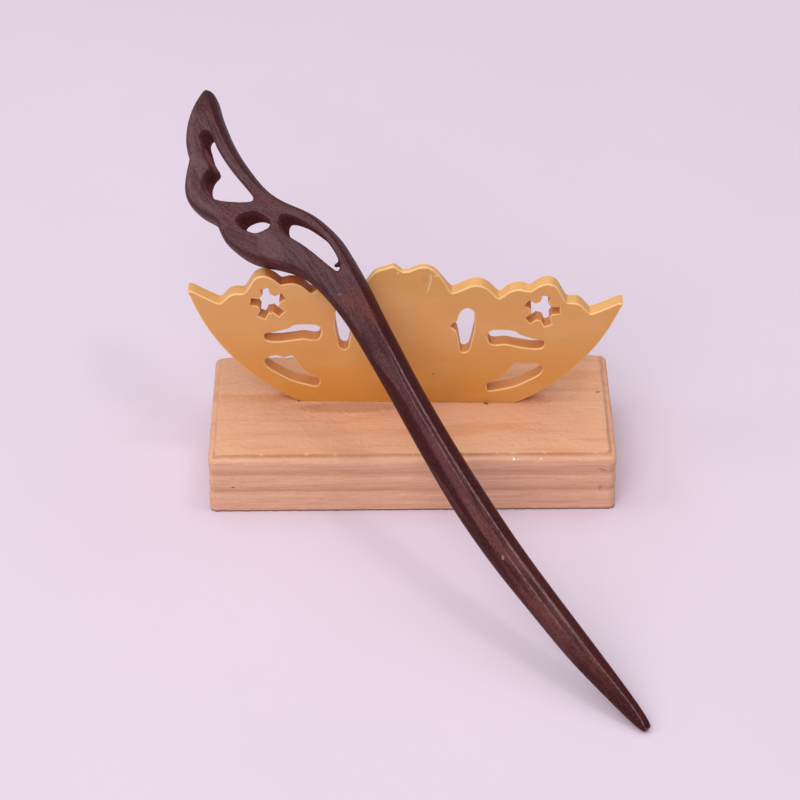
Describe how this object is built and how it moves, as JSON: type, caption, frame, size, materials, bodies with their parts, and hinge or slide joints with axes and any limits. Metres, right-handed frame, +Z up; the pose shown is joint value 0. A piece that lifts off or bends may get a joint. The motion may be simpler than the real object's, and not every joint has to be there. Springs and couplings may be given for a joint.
{
  "type": "hair stick on display stand",
  "caption": "Carved dark wood hair stick with a pierced wing-shaped head, leaning on a plain stand: a scalloped crescent plate set in a small wooden block.",
  "frame": {"origin": "middle of the stand block's underside, on the surface that the stand and the stick's tip rest on", "axes": "+Z up, +X to the right along the block's length, +Y from the block's front to its back; the stick's tip lies in front at -Y and its head rises over the plate's left wing"},
  "size_m": [0.0976, 0.1408, 0.0736],
  "materials": {
    "dark_wood": "satin, oiled dark reddish-brown rosewood",
    "tan_plate": "smooth satin tan, layered at the edges",
    "pale_wood": "bare sanded beech with fine level grain"
  },
  "bodies": {
    "root": {"hair_stick": "dark_wood", "stand_plate": "tan_plate", "stand_base": "pale_wood"}
  },
  "joints": []
}
